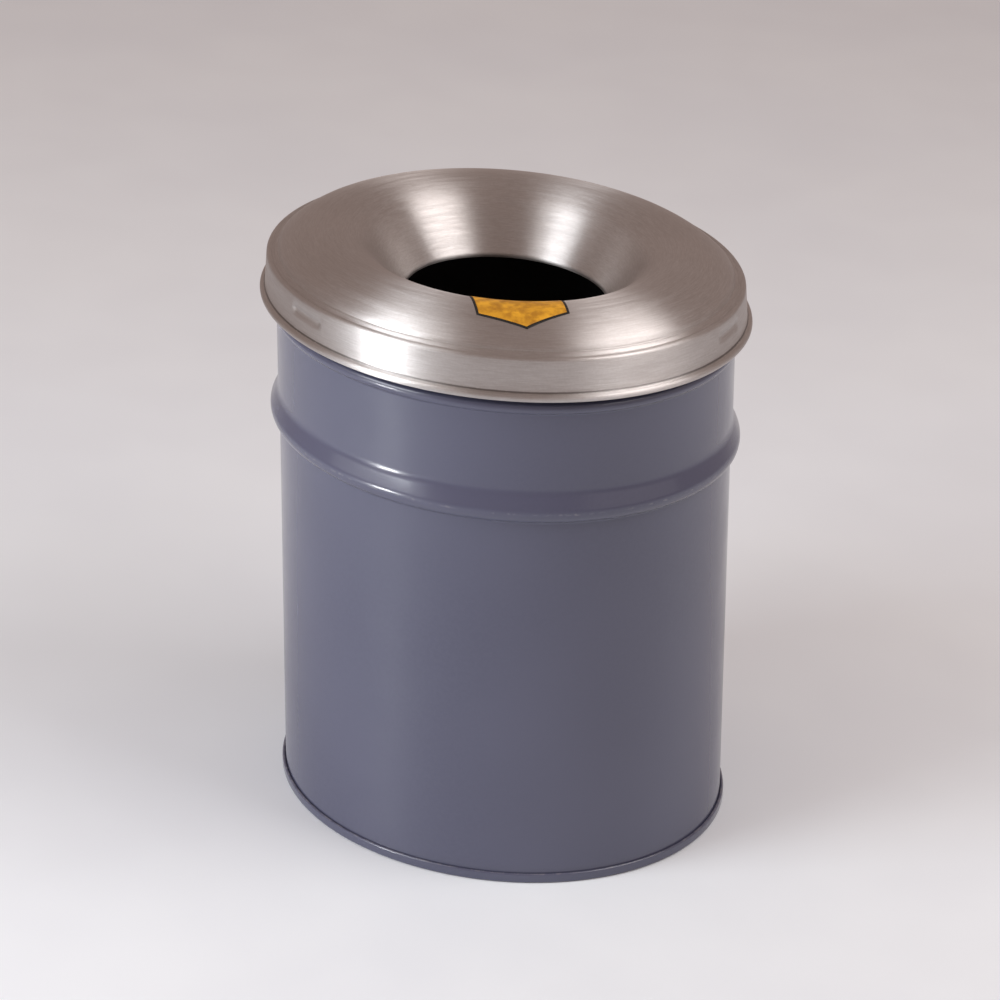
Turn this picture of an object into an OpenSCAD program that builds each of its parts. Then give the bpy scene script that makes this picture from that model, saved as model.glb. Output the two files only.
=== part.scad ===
// Self-extinguishing waste can: a painted steel drum with a spun aluminium
// funnel head that lifts off. Millimetres, +Z up, origin at the middle of the
// base, where the can stands on the floor. The front of the can faces -Y.

/* [Drum] */
// Radius of the drum wall, outside
drum_r = 142.6; // [138:0.1:147]
// Height of the drum to the top of its rolled rim
drum_h = 360; // [345:1:400]
// Thickness of the steel sheet
steel_t = 0.6; // [0.5:0.05:0.7]
// How far the neck stands out from the drum wall
neck_step = 0.9; // [0.5:0.1:1.5]
// Outer radius of the rolled rim's own section
curl_r = 2.35; // [2.2:0.05:2.4]

/* [Swell and neck bead] */
// Height of the swell's nose above the floor
swell_z = 259; // [200:0.5:262]
// How far the swell's nose stands out from the drum wall
swell_out = 5.8; // [5:0.1:6.5]
// Lean of the swell's upper flank from upright, in degrees
swell_lean = 25; // [16:1:30]
// Depth of the small neck bead below the drum's top
neck_bead_drop = 32.5; // [30:0.5:36]
// How far the neck bead stands out from the neck
neck_bead_out = 3; // [2:0.1:3.5]

/* [Base] */
// Height of the double seam around the base
chime_h = 6.5; // [6:0.1:9]
// Gap between the sheets folded in the double seam
seam_gap = 0.15; // [0.1:0.01:0.2]
// Height of the bottom panel's upper face
panel_z = 10; // [9:0.5:16]

/* [Head] */
// Thickness of the aluminium sheet
head_t = 1.2; // [1:0.05:1.3]
// How far the hem stands out from the neck
hem_out = 10.3; // [10.1:0.1:11]
// Depth of the hem's lower edge below the drum's top
hem_drop = 24.8; // [23:0.1:26]
// Outer radius of the rolled hem's own section
hem_bead_r = 2.4; // [2.2:0.1:2.6]
// Lean of the skirt from upright, in degrees
skirt_lean = 4; // [3:0.5:4.5]
// Rise of the crown above the drum's top
crown_rise = 19; // [17:0.5:22]
// Distance from the neck in to the crown's highest ring
crown_in = 34.8; // [33:0.1:37]
// Radius of the dome outside the crown's highest ring
dome_r = 47; // [46:0.5:49]
// Radius of the rounding inside the crown's highest ring
crown_round = 33; // [24:1:36]
// Radius of the mouth
mouth_r = 63.5; // [58:0.5:68]
// Depth of the mouth below the drum's top
mouth_drop = 19; // [12:0.5:24]

/* [Retaining dimples] */
// Number of dimples pressed into the skirt
dimple_count = 3; // [3:1:4]
// Direction of the first dimple, in degrees from +X
dimple_start = -144; // [-180:1:180]
// Width of each dimple around the skirt, in degrees
dimple_sweep = 11; // [8:1:14]
// Height of each dimple
dimple_h = 6.5; // [6:0.5:8.5]
// Depth of each dimple's recess
dimple_d = 0.6; // [0.4:0.05:0.7]

/* [Label] */
// Direction of the label, in degrees from +X
label_dir = -85; // [-180:0.5:180]
// How far the label is turned on the head, in degrees
label_twist = 5; // [-8:0.5:8]
// Width of the label
label_w = 56.5; // [40:0.5:58]
// Distance from the can's axis out to the root of the label's point
label_root = 117.5; // [112:0.5:118]
// Length of the label's point
label_point = 13.5; // [8:0.5:14]
// Length of the label from the root of its point to its straight end
label_len = 32; // [22:1:34]
// Width of the label's border
label_border = 1.6; // [1:0.1:3]
// Thickness of each layer of the label
film_t = 0.15; // [0.1:0.01:0.2]

/* [Hidden] */

$fn = 180;
arc_step = 7.5;      // largest turn of one step along a rounded stretch
rest_gap = 0.3;      // clearance between the dimples and the drum's rolled rim
layer_gap = 0.02;    // clearance between films, welds and the sheet under them
slide_gap = 0.05;    // clearance between the bottom's upright wall and the shell
hook_gap = 0.6;      // height of the end's folded edge above the shell's fold
dimple_gap = 0.8;    // height of the rolled rim above the dimples
dimple_pad = 1;      // width of the raised pad around each dimple's back

// Radii that follow from the driving dimensions
neck_r = drum_r + neck_step;
swell_r = drum_r + swell_out;
hem_r = neck_r + hem_out;
crown_r = neck_r - crown_in;
crown_z = drum_h + crown_rise;

// Weld along the back of the drum
weld_dir = 90;
weld_sweep = 2.2;
weld_t = 0.35;
weld_foot_gap = 2;   // height of the weld's lower end above the base seam
weld_top_gap = 3;    // distance of its upper end below the rolled rim

// ---- Rolled sheet sections ----------------------------------------------
// A path is a list of arcs [x, z, radius, start, end] joined by straight
// stretches. Its radius is that of the face on the path's right-hand side.
// A corner or an end is an arc of no radius whose two angles are that face's
// normal.

function polar(r, a) = [r * cos(a), r * sin(a)];
function bearing(p, q) = atan2(q.y - p.y, q.x - p.x);
function arc(c, r, a0, a1) = [c.x, c.y, r, a0, a1];
function stop(p, normal) = [p.x, p.y, 0, normal, normal];

// Points of one arc, moved d out of the path's right-hand face
function arc_side(e, d) =
    let (
        turn = e[4] - e[3],
        s = turn < 0 ? -1 : 1,
        n = ceil(abs(turn) / arc_step),
        r = e[2] + s * d
    )
    n == 0
        ? [[e[0], e[1]] + polar(d, e[3])]
        : [for (i = [0 : n]) [e[0], e[1]] + polar(r, e[3] + turn * i / n)];

function path_side(path, d) = [for (e = path) each arc_side(e, d)];

function backwards(v) = [for (i = [len(v) - 1 : -1 : 0]) v[i]];

// Closed outline between two distances from the path's right-hand face
function band(path, inner, outer) =
    concat(path_side(path, outer), backwards(path_side(path, inner)));

// Full ring of sheet that follows a path
module spun(path, inner, outer) {
    rotate_extrude() polygon(band(path, inner, outer));
}

// Part of a ring of sheet, centred on a direction
module spun_part(path, inner, outer, dir, sweep) {
    rotate([0, 0, dir - sweep / 2])
        rotate_extrude(angle = sweep) polygon(band(path, inner, outer));
}

// ---- Drum shell ---------------------------------------------------------
hook_r = steel_t / 2 + seam_gap;     // inner radius of the body hook's fold
hook_c = [drum_r + hook_r, steel_t + 2 * seam_gap + hook_r + steel_t];
hook_top = chime_h - 2 * steel_t - 2 * seam_gap;

swell_foot_r = 2;
swell_nose_r = 8;
swell_top_r = 14;
// Turn at the swell's foot that carries the wall out to the nose
swell_turn = acos(1 - swell_out / (swell_foot_r + swell_nose_r));
nose_c = [swell_r - swell_nose_r, swell_z];
foot_c = nose_c + polar(swell_foot_r + swell_nose_r, -swell_turn);
// The upper flank is the straight line that touches the nose and, on its
// other side, the fold at the foot of the neck
flank_span = (swell_nose_r + swell_top_r) / cos(swell_lean);
flank_run = neck_r + swell_top_r - nose_c.x;
swell_top_c = [
    neck_r + swell_top_r,
    nose_c.y + (flank_span - flank_run) / tan(swell_lean)
];

bead_r = 4;
bead_fillet_r = 2;
bead_turn = acos(1 - neck_bead_out / (bead_r + bead_fillet_r));
bead_c = [neck_r + neck_bead_out - bead_r, drum_h - neck_bead_drop];
bead_low_c = bead_c + polar(bead_r + bead_fillet_r, -bead_turn);
bead_high_c = bead_c + polar(bead_r + bead_fillet_r, bead_turn);

curl_in_r = curl_r - steel_t;
curl_end = -95;      // direction in which the rim's roll ends
curl_c = [neck_r - steel_t + curl_r, drum_h - curl_r];

// The drum's wall from above the base seam to below the rolled rim
wall_path = [
    arc(foot_c, swell_foot_r, 180, 180 - swell_turn),
    arc(nose_c, swell_nose_r, -swell_turn, swell_lean),
    arc(swell_top_c, swell_top_r, 180 + swell_lean, 180),
    arc(bead_low_c, bead_fillet_r, 180, 180 - bead_turn),
    arc(bead_c, bead_r, -bead_turn, bead_turn),
    arc(bead_high_c, bead_fillet_r, 180 + bead_turn, 180)
];

module drum_shell() {
    hook_path = [
        stop([hook_c.x + hook_r, hook_top], 180),
        arc(hook_c, hook_r, 0, -180)
    ];
    curl_path = [arc(curl_c, curl_in_r, 180, curl_end)];
    color("slategray")
        spun(concat(hook_path, wall_path, curl_path), -steel_t, 0);
}

// Lap weld where the rolled sheet is joined, up the back of the drum
module drum_side_weld() {
    weld_path = concat(
        [stop([drum_r, chime_h + weld_foot_gap], 0)],
        wall_path,
        [stop([neck_r, drum_h - 2 * curl_r - weld_top_gap], 0)]
    );
    color("slategray")
        spun_part(weld_path, layer_gap, weld_t, weld_dir, weld_sweep);
}

// ---- Bottom and its double seam -----------------------------------------
// Inside face of the fold that hooks over the shell, then down the outside,
// under the shell and up its inside to the panel
end_hook_r = drum_r + seam_gap + steel_t;
end_wall_r = end_hook_r + steel_t + 2 * seam_gap;
end_fold_r = (end_wall_r - end_hook_r) / 2;
end_fold_c = [end_hook_r + end_fold_r, chime_h - steel_t - end_fold_r];
base_corner_r = 1;
chuck_r = drum_r - steel_t - slide_gap;
panel_corner_r = 2.2;

module drum_bottom() {
    low_z = steel_t + base_corner_r;
    end_path = [
        stop([end_hook_r, hook_c.y + hook_gap], 0),
        arc(end_fold_c, end_fold_r, 180, 0),
        arc([end_wall_r - base_corner_r, low_z], base_corner_r, 0, -90),
        arc([chuck_r + base_corner_r, low_z], base_corner_r, -90, -180),
        arc([chuck_r - panel_corner_r, panel_z - panel_corner_r], panel_corner_r, 0, 90),
        stop([0, panel_z], 90)
    ];
    color("gray") spun(end_path, -steel_t, 0);
}

// Sealing compound between the shell's hook and the top of the double seam
module base_seam_sealant() {
    low = hook_top + layer_gap;
    color("dimgray")
        rotate_extrude()
            translate([end_hook_r + layer_gap, low])
                square([2 * (end_fold_r - layer_gap), end_fold_c.y - low]);
}

// ---- Head ---------------------------------------------------------------
// Centre of a circle of radius r that touches two others from outside, on
// the left of the line from the first to the second
function nestled(c1, r1, c2, r2, r) =
    let (
        d = norm(c2 - c1),
        a = acos((pow(r1 + r, 2) + d * d - pow(r2 + r, 2)) / (2 * d * (r1 + r)))
    )
    c1 + polar(r1 + r, bearing(c1, c2) - a);

hem_c = [hem_r - hem_bead_r, drum_h - hem_drop + hem_bead_r];
hem_fillet_r = 2;
hem_turn = 75;
hem_end = -160;      // direction in which the hem's roll ends
hem_fillet_c = hem_c + polar(hem_bead_r + hem_fillet_r, hem_turn);

shoulder_r = 2.2;
shoulder_z = drum_h + 0.1;  // height of the shoulder's centre
skirt_normal = polar(1, skirt_lean);
shoulder_c = [
    (hem_fillet_c * skirt_normal - hem_fillet_r - shoulder_r - shoulder_z * skirt_normal.y)
        / skirt_normal.x,
    shoulder_z
];
dome_c = [crown_r, crown_z - dome_r];
groove_r = 1;
groove_c = nestled(shoulder_c, shoulder_r, dome_c, dome_r, groove_r);

crown_c = [crown_r, crown_z - crown_round];
lip_r = 3;
lip_edge = 1.5;      // height of the mouth's straight edge
lip_c = [mouth_r + lip_r, drum_h - mouth_drop];
// Normal of the straight funnel wall that touches the crown and the lip
funnel_normal = bearing(crown_c, lip_c)
    - acos((crown_round - lip_r) / norm(lip_c - crown_c)) + 360;

dome_path = [
    arc(dome_c, dome_r, bearing(dome_c, groove_c), 90),
    arc(crown_c, crown_round, 90, funnel_normal)
];
head_path = concat(
    [
        arc(hem_c, hem_bead_r, hem_end, hem_turn),
        arc(hem_fillet_c, hem_fillet_r, 180 + hem_turn, 180 + skirt_lean),
        arc(shoulder_c, shoulder_r, skirt_lean, bearing(shoulder_c, groove_c)),
        arc(groove_c, groove_r, 180 + bearing(shoulder_c, groove_c), 180 + bearing(dome_c, groove_c))
    ],
    dome_path,
    [
        arc(lip_c, lip_r, funnel_normal, 180),
        stop([mouth_r, lip_c.y - lip_edge], 180)
    ]
);

// Dimples pressed in below the drum's rim hold the head in line
dimple_z = curl_c.y - curl_r - dimple_gap - dimple_h / 2;
pad_in_r = neck_r - steel_t + 2 * curl_r + rest_gap;
pad_sweep = 1;       // how much wider than the dimple its pad is, in degrees

module skirt_sector(inner_r, outer_r, height, dir, sweep) {
    rotate([0, 0, dir - sweep / 2])
        rotate_extrude(angle = sweep)
            translate([inner_r, dimple_z - height / 2])
                square([outer_r - inner_r, height]);
}

module head_shell() {
    skirt_out_r = hem_fillet_c.x - hem_fillet_r;
    skirt_at_dimple = skirt_out_r - (dimple_z - hem_fillet_c.y) * tan(skirt_lean);
    color("silver")
        difference() {
            union() {
                spun(head_path, -head_t, 0);
                for (i = [0 : dimple_count - 1])
                    skirt_sector(
                        pad_in_r,
                        skirt_at_dimple - head_t / 2,
                        dimple_h + 2 * dimple_pad,
                        dimple_start + i * 360 / dimple_count,
                        dimple_sweep + pad_sweep
                    );
            }
            for (i = [0 : dimple_count - 1])
                skirt_sector(
                    skirt_at_dimple - dimple_d,
                    hem_r,
                    dimple_h,
                    dimple_start + i * 360 / dimple_count,
                    dimple_sweep
                );
        }
}

// ---- Label --------------------------------------------------------------
label_sweep = 60;    // part of the ring, in degrees, that the label is cut from

// Five-sided outline with its point outwards, shrunk by a border
module label_outline(border) {
    half = label_w / 2 - border;
    slope = atan2(label_point, label_w / 2);
    tip = label_point - border / cos(slope);
    shoulder = tip - half * tan(slope);
    polygon([
        [border - label_len, -half],
        [shoulder, -half],
        [tip, 0],
        [shoulder, half],
        [border - label_len, half]
    ]);
}

// A film of the given layer that lies on the head's outer face
module label_film(border, low, high) {
    intersection() {
        spun_part(dome_path, low, high, label_dir, label_sweep);
        rotate([0, 0, label_dir])
            translate([label_root, 0, lip_c.y])
                rotate([0, 0, label_twist])
                    linear_extrude(height = 2 * (crown_z - lip_c.y)) label_outline(border);
    }
}

module label_backing() {
    color("black") label_film(0, layer_gap, layer_gap + film_t);
}

module label_face() {
    color("orange")
        label_film(label_border, 2 * layer_gap + film_t, 2 * layer_gap + 2 * film_t);
}

drum_shell();
drum_side_weld();
drum_bottom();
base_seam_sealant();
head_shell();
label_backing();
label_face();
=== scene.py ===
"""Looks of a self-extinguishing waste can: a painted steel drum under a spun aluminium head.

Every size is in metres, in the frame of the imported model: +Z up, the can stands on z = 0, and its
front faces -Y. Turned pieces are lathed from a sheet section made of arcs, as the real ones are.
"""
import logging
import math
from dataclasses import dataclass, field
from enum import Enum
from typing import Iterable, Optional, Sequence

import bmesh
import bpy
from mathutils import Matrix, Vector


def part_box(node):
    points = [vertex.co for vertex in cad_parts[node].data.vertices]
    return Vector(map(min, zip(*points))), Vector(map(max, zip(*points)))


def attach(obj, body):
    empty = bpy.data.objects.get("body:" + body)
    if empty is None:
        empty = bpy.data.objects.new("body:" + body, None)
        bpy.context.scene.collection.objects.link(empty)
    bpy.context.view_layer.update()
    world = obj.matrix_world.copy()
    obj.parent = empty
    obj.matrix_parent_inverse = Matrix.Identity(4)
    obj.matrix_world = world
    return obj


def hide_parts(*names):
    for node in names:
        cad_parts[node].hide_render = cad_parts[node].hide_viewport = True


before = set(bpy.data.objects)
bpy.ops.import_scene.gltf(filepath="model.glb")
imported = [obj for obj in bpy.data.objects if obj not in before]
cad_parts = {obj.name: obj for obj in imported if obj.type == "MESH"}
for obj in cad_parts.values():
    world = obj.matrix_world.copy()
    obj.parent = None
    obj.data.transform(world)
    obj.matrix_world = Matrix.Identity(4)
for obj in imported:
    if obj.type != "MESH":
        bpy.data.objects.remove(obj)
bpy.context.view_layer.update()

log = logging.getLogger("waste_can")

MM = 0.001
Colour = tuple[float, float, float]
Point = tuple[float, float]


class Slot(Enum):
    """Material slots of the record, named along with the pieces; the finishes are built here, not
    taken from them.
    """

    PAINT = "grey_paint"
    ALUMINIUM = "spun_aluminium"
    SEALANT = "seam_sealant"
    BORDER = "label_black"
    YELLOW = "label_yellow"


class Body(Enum):
    """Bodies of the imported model."""

    DRUM = "drum"
    HEAD = "head"


class Side(Enum):
    """The two faces of a sheet, as the value of its "inner" attribute."""

    OUTER = 0.0
    INNER = 1.0


# ---- Sheet sections ------------------------------------------------------


def polar(radius: float, degrees: float) -> Vector:
    """Point at a distance and a direction from the origin of a section.

    Args:
        radius: Distance from the origin.
        degrees: Direction, from outward and up.

    Returns:
        The point.
    """
    turn = math.radians(degrees)
    return Vector((radius * math.cos(turn), radius * math.sin(turn)))


def bearing(start: Vector, end: Vector) -> float:
    """Direction in degrees from one section point to another.

    Args:
        start: Point that the direction leaves.
        end: Point that it leads to.

    Returns:
        The direction, from outward and up.
    """
    return math.degrees(math.atan2(end.y - start.y, end.x - start.x))


@dataclass(frozen=True)
class Arc:
    """Rounded stretch of a section; a stretch of no radius is a corner or an end.

    The radius is that of the face on the path's right-hand side.
    """

    centre: Vector
    radius: float
    start: float
    end: float
    step: float = 9.0

    def points(self, outward: float = 0.0) -> list[Vector]:
        """Points along the arc.

        Args:
            outward: Distance that the points move out of the right-hand face.

        Returns:
            The points, from the arc's start to its end.
        """
        turn = self.end - self.start
        if turn == 0:
            return [self.centre + polar(outward, self.start)]
        radius = self.radius + (outward if turn > 0 else -outward)
        count = max(2, math.ceil(abs(turn) / self.step))
        return [
            self.centre + polar(radius, self.start + turn * i / count) for i in range(count + 1)
        ]


def corner(point: Iterable[float], normal: float) -> Arc:
    """Sharp end or corner of a path.

    Args:
        point: Place of the corner.
        normal: Direction that the right-hand face looks in there, in degrees.

    Returns:
        The corner as an arc of no radius.
    """
    return Arc(Vector(point), 0.0, normal, normal)


def nestled(first: Vector, r1: float, second: Vector, r2: float, radius: float) -> Vector:
    """Centre of a circle that touches two others from outside, on the left of their line.

    Args:
        first: Centre of the first circle.
        r1: Its radius.
        second: Centre of the second circle.
        r2: Its radius.
        radius: Radius of the circle that touches them.

    Returns:
        The centre of the touching circle.
    """
    gap = (second - first).length
    reach = r1 + radius
    turn = math.acos((reach**2 + gap**2 - (r2 + radius) ** 2) / (2 * gap * reach))
    return first + polar(reach, bearing(first, second) - math.degrees(turn))


@dataclass
class Section:
    """Cross-section of a formed sheet: the paths of its two faces."""

    outer: Sequence[Arc]
    sheet: float
    inner: Optional[Sequence[Arc]] = None

    def faces(self) -> tuple[list[Vector], list[Vector]]:
        """Points along both faces of the sheet.

        Returns:
            The outer face's points, and the inner face's points.
        """
        inner = self.outer if self.inner is None else self.inner
        outside = [p for arc in self.outer for p in arc.points()]
        inside = [p for arc in inner for p in arc.points(-self.sheet)]
        return outside, inside

    def profile(self, name: str) -> bpy.types.Object:
        """Closed outline of the section as a wire that a lathe can turn.

        Args:
            name: Name of the new object.

        Returns:
            The wire, whose points carry which face they lie on.
        """
        outside, inside = self.faces()
        points = [(p, Side.OUTER) for p in outside] + [(p, Side.INNER) for p in reversed(inside)]
        count = len(points)
        mesh = bpy.data.meshes.new(name)
        mesh.from_pydata(
            [(p.x, 0.0, p.y) for p, _ in points], [(i, (i + 1) % count) for i in range(count)], []
        )
        marks = mesh.attributes.new("inner", "FLOAT", "POINT")
        marks.data.foreach_set("value", [side.value for _, side in points])
        wire = bpy.data.objects.new(name, mesh)
        bpy.context.scene.collection.objects.link(wire)
        return wire


# ---- Node helpers ---------------------------------------------------------


@dataclass
class Wiring:
    """Shorthand for adding and joining the nodes of one tree."""

    tree: bpy.types.NodeTree

    def add(self, kind: str, **settings: object) -> bpy.types.Node:
        """Adds a node and sets its options.

        Args:
            kind: Node type, as Blender names it.
            **settings: Properties of the node.

        Returns:
            The node.
        """
        node = self.tree.nodes.new(kind)
        for name, value in settings.items():
            setattr(node, name, value)
        return node

    def feed(self, node: bpy.types.Node, socket: object, source: object) -> None:
        """Sets a node's input to a value, or joins another node's output to it.

        Args:
            node: Node that takes the input.
            socket: Name or number of its input.
            source: An output socket, or a plain value.
        """
        if isinstance(source, bpy.types.NodeSocket):
            self.tree.links.new(source, node.inputs[socket])
        else:
            node.inputs[socket].default_value = source

    def math(self, operation: str, *terms: object) -> bpy.types.NodeSocket:
        """Adds a Math node.

        Args:
            operation: Math operation.
            *terms: Its inputs, as sockets or numbers.

        Returns:
            The result's socket.
        """
        node = self.add("ShaderNodeMath", operation=operation)
        for index, term in enumerate(terms):
            self.feed(node, index, term)
        return node.outputs[0]

    def ramp(
        self, value: object, low: object, high: object, to: Point = (0.0, 1.0)
    ) -> bpy.types.NodeSocket:
        """Adds a smooth step of a value between two limits.

        Args:
            value: Value that is mapped.
            low: Where the step starts.
            high: Where the step ends.
            to: The results at the start and the end.

        Returns:
            The result's socket.
        """
        node = self.add("ShaderNodeMapRange", interpolation_type="SMOOTHSTEP")
        sockets = ("Value", "From Min", "From Max", "To Min", "To Max")
        for name, source in zip(sockets, (value, low, high, *to)):
            self.feed(node, name, source)
        return node.outputs["Result"]

    def noise(
        self, scale: object, detail: object, roughness: float, **links: object
    ) -> bpy.types.NodeSocket:
        """Adds a Noise texture and returns its value.

        Args:
            scale: Scale of the noise.
            detail: Octaves.
            roughness: Weight of the finer octaves.
            **links: Vector, and W for noise in four dimensions.

        Returns:
            The noise value's socket.
        """
        dimensions = "4D" if "W" in links else "3D"
        node = self.add("ShaderNodeTexNoise", noise_dimensions=dimensions)
        settings = {"Scale": scale, "Detail": detail, "Roughness": roughness, **links}
        for name, source in settings.items():
            self.feed(node, name, source)
        return node.outputs[0]


def new_group(
    name: str, kind: str, inputs: dict[str, tuple[str, object]], outputs: dict[str, str]
) -> Wiring:
    """Makes an empty node group with named inputs and outputs.

    Args:
        name: Name of the group.
        kind: Type of node tree.
        inputs: Each input's socket type and default, by name.
        outputs: Each output's socket type, by name.

    Returns:
        The wiring of the new group.
    """
    tree = bpy.data.node_groups.new(name, kind)
    for label, (socket_type, default) in inputs.items():
        socket = tree.interface.new_socket(label, in_out="INPUT", socket_type=socket_type)
        if default is not None:
            socket.default_value = default
    for label, socket_type in outputs.items():
        tree.interface.new_socket(label, in_out="OUTPUT", socket_type=socket_type)
    return Wiring(tree)


# ---- Lathe ----------------------------------------------------------------

FLOAT = "NodeSocketFloat"
INT = "NodeSocketInt"
GEOMETRY = "NodeSocketGeometry"
MATERIAL = "NodeSocketMaterial"


@dataclass(frozen=True)
class Dimples:
    """Tabs pressed into a turned skirt, evenly spaced around it."""

    count: int = 3
    first: float = -144.0
    sweep: float = 11.0
    height: float = 6.5 * MM
    middle: float = 351.25 * MM
    depth: float = 1.2 * MM
    soft: float = 0.7 * MM
    radius: float = 0.1495


class Lathe:
    """Turns the wire of a sheet section into a shell, with dimples where the piece has them.

    The section is swept round a circle of radius PIVOT. A dimple reaches its full depth at the
    share DEEPEST of its height, presses only what lies outside SKIRT_INSETS from the skirt's
    radius, and moves the inner face by less than the outer one, by the share INNER_LOSS.
    """

    PIVOT = 0.1
    DEEPEST = 0.75
    SKIRT_INSETS = (0.004, 0.003)
    INNER_LOSS = 0.65

    def __init__(self) -> None:
        """Builds the lathe's node tree once."""
        inputs: dict[str, tuple[str, object]] = {
            "Section": (GEOMETRY, None),
            "Steps": (INT, 360),
            "Outer Finish": (MATERIAL, None),
            "Inner Finish": (MATERIAL, None),
            "Dimple Count": (FLOAT, 3.0),
            "First Dimple": (FLOAT, 0.0),
            "Dimple Sweep": (FLOAT, 0.1),
            "Dimple Height": (FLOAT, 0.008),
            "Dimple Middle": (FLOAT, 0.35),
            "Dimple Depth": (FLOAT, 0.0),
            "Dimple Soft": (FLOAT, 0.001),
            "Skirt Radius": (FLOAT, 0.15),
        }
        self.wiring = new_group("lathe", "GeometryNodeTree", inputs, {"Shell": GEOMETRY})
        self._wire_turning()

    def _wire_turning(self) -> None:
        """Wires the turning of the section, the dimples and the two finishes."""
        w = self.wiring
        given = w.add("NodeGroupInput").outputs
        curve = w.add("GeometryNodeMeshToCurve")
        w.feed(curve, "Mesh", given["Section"])
        place = w.add("ShaderNodeSeparateXYZ")
        w.feed(place, 0, w.add("GeometryNodeInputPosition").outputs[0])
        flat = w.add("ShaderNodeCombineXYZ")
        w.feed(flat, "X", w.math("SUBTRACT", place.outputs["X"], self.PIVOT))
        w.feed(flat, "Y", w.math("MULTIPLY", place.outputs["Z"], -1.0))
        section = w.add("GeometryNodeSetPosition")
        w.feed(section, "Geometry", curve.outputs[0])
        w.feed(section, "Position", flat.outputs[0])
        circle = w.add("GeometryNodeCurvePrimitiveCircle", mode="RADIUS")
        w.feed(circle, "Resolution", given["Steps"])
        w.feed(circle, "Radius", self.PIVOT)
        upright = w.add("GeometryNodeSetCurveNormal", mode="Z_UP")
        w.feed(upright, "Curve", circle.outputs[0])
        turned = w.add("GeometryNodeCurveToMesh")
        w.feed(turned, "Curve", upright.outputs[0])
        w.feed(turned, "Profile Curve", section.outputs[0])
        pressed = w.add("GeometryNodeSetPosition")
        w.feed(pressed, "Geometry", turned.outputs[0])
        w.feed(pressed, "Offset", self._dimple_offset(given))
        smooth = w.add("GeometryNodeSetShadeSmooth")
        w.feed(smooth, "Geometry", pressed.outputs[0])
        real = w.add("GeometryNodeRealizeInstances")
        w.feed(real, "Geometry", smooth.outputs[0])
        outer = w.add("GeometryNodeSetMaterial")
        w.feed(outer, "Geometry", real.outputs[0])
        w.feed(outer, "Material", given["Outer Finish"])
        inner = w.add("GeometryNodeSetMaterial")
        w.feed(inner, "Geometry", outer.outputs[0])
        w.feed(inner, "Selection", w.math("GREATER_THAN", self._inner_mark(), 0.5))
        w.feed(inner, "Material", given["Inner Finish"])
        w.feed(w.add("NodeGroupOutput"), "Shell", inner.outputs[0])

    def _inner_mark(self) -> bpy.types.NodeSocket:
        """Reads which face of the sheet a point lies on.

        Returns:
            The socket of the "inner" attribute.
        """
        mark = self.wiring.add("GeometryNodeInputNamedAttribute", data_type="FLOAT")
        self.wiring.feed(mark, "Name", "inner")
        return mark.outputs["Attribute"]

    def _dimple_offset(self, given: bpy.types.NodeInputs) -> bpy.types.NodeSocket:
        """Wires how far each point is pressed towards the axis.

        Args:
            given: The group's inputs.

        Returns:
            The offset vector's socket.
        """
        w = self.wiring
        place = w.add("ShaderNodeSeparateXYZ")
        w.feed(place, 0, w.add("GeometryNodeInputPosition").outputs[0])
        x, y, z = place.outputs
        skirt = given["Skirt Radius"]
        pitch = w.math("DIVIDE", 2 * math.pi, given["Dimple Count"])
        half_pitch = w.math("MULTIPLY", pitch, 0.5)
        off = w.math("SUBTRACT", w.math("ARCTAN2", y, x), given["First Dimple"])
        turns = w.math("FLOORED_MODULO", w.math("ADD", off, half_pitch), pitch)
        along = w.math("MULTIPLY", w.math("SUBTRACT", turns, half_pitch), skirt)
        half_length = w.math("MULTIPLY", w.math("MULTIPLY", given["Dimple Sweep"], skirt), 0.5)
        from_end = w.math("SUBTRACT", half_length, w.math("ABSOLUTE", along))
        in_length = w.ramp(from_end, 0.0, given["Dimple Soft"])
        rise = w.math("SUBTRACT", z, given["Dimple Middle"])
        half_height = w.math("MULTIPLY", given["Dimple Height"], 0.5)
        under_top = w.ramp(w.math("SUBTRACT", half_height, rise), 0.0, given["Dimple Soft"])
        from_foot = w.math("ADD", rise, half_height)
        deeper = w.ramp(from_foot, 0.0, w.math("MULTIPLY", given["Dimple Height"], self.DEEPEST))
        radius = w.math("SQRT", w.math("ADD", w.math("POWER", x, 2.0), w.math("POWER", y, 2.0)))
        low, high = (w.math("SUBTRACT", skirt, inset) for inset in self.SKIRT_INSETS)
        on_skirt = w.ramp(radius, low, high)
        sheet = w.math("SUBTRACT", 1.0, w.math("MULTIPLY", self._inner_mark(), self.INNER_LOSS))
        depth = given["Dimple Depth"]
        for share in (in_length, under_top, deeper, on_skirt, sheet):
            depth = w.math("MULTIPLY", depth, share)
        scale = w.math("DIVIDE", w.math("MULTIPLY", depth, -1.0), w.math("MAXIMUM", radius, 0.001))
        offset = w.add("ShaderNodeCombineXYZ")
        w.feed(offset, "X", w.math("MULTIPLY", x, scale))
        w.feed(offset, "Y", w.math("MULTIPLY", y, scale))
        return offset.outputs[0]

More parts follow.
